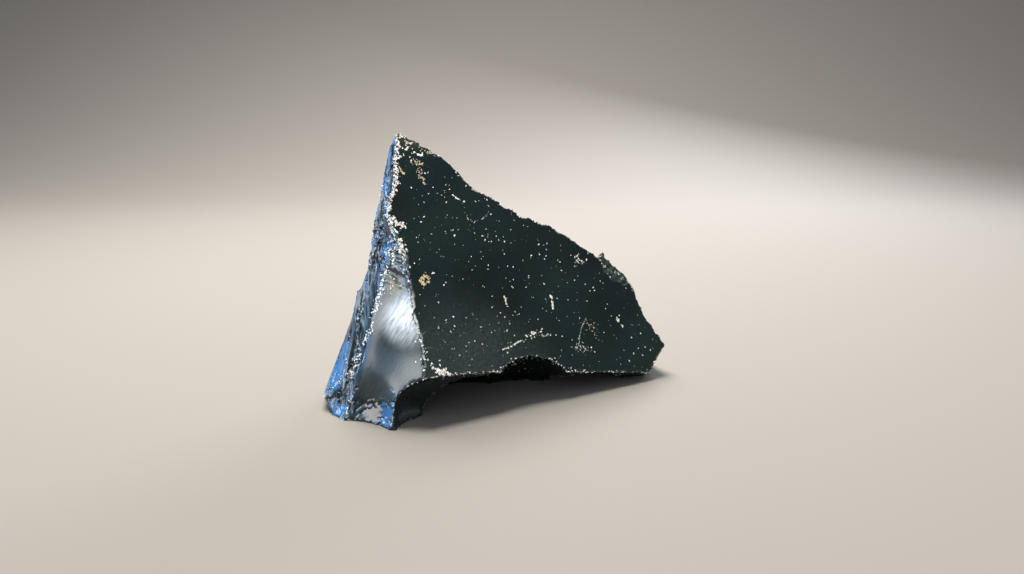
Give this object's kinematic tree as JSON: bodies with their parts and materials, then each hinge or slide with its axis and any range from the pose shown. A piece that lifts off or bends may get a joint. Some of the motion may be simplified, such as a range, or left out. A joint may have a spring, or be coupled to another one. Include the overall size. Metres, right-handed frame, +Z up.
{
  "type": "obsidian chunk",
  "caption": "Broken chunk of black volcanic glass: a smooth dark face over a hollowed underside, a curved grey scar, a rough fluted side and scarred back.",
  "frame": {"origin": "under the middle of the chunk's box, on the surface that it lies on", "axes": "+X to the right of the smooth dark face as one looks at the chunk, along its longest side; +Y to its back; +Z up"},
  "size_m": [0.1036, 0.0684, 0.0766],
  "materials": {
    "obsidian": "gloss"
  },
  "bodies": {
    "root": {"obsidian_chunk": "obsidian"}
  },
  "joints": []
}
